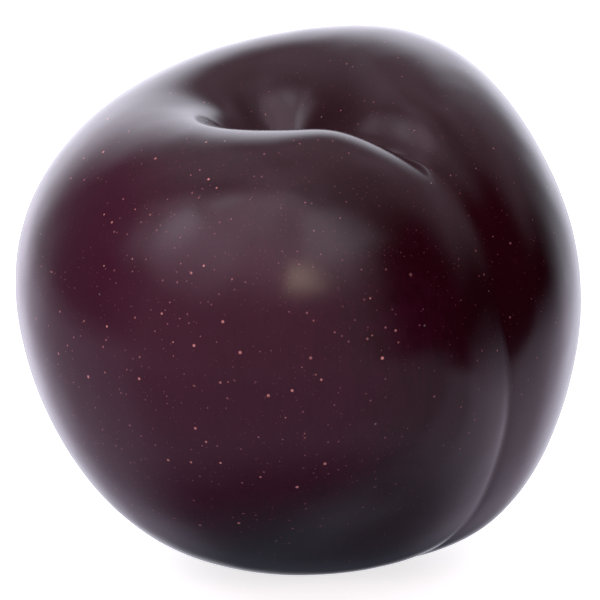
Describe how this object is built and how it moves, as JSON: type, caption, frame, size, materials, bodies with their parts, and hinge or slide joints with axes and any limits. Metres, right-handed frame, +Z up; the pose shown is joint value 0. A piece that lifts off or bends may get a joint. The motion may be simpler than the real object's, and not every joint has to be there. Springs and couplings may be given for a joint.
{
  "type": "plum",
  "caption": "Whole dark-skinned plum with a stalk cavity, a seam folded down one side and a small flat to rest on.",
  "frame": {"origin": "on the surface that the fruit rests on, under the middle of its box", "axes": "+Z up with the stalk end on top; the seam runs down the side that faces between +X and -Y"},
  "size_m": [0.0644, 0.063, 0.0599],
  "materials": {
    "skin": "glossy dark purple skin"
  },
  "bodies": {
    "root": {"plum": "skin"}
  },
  "joints": []
}
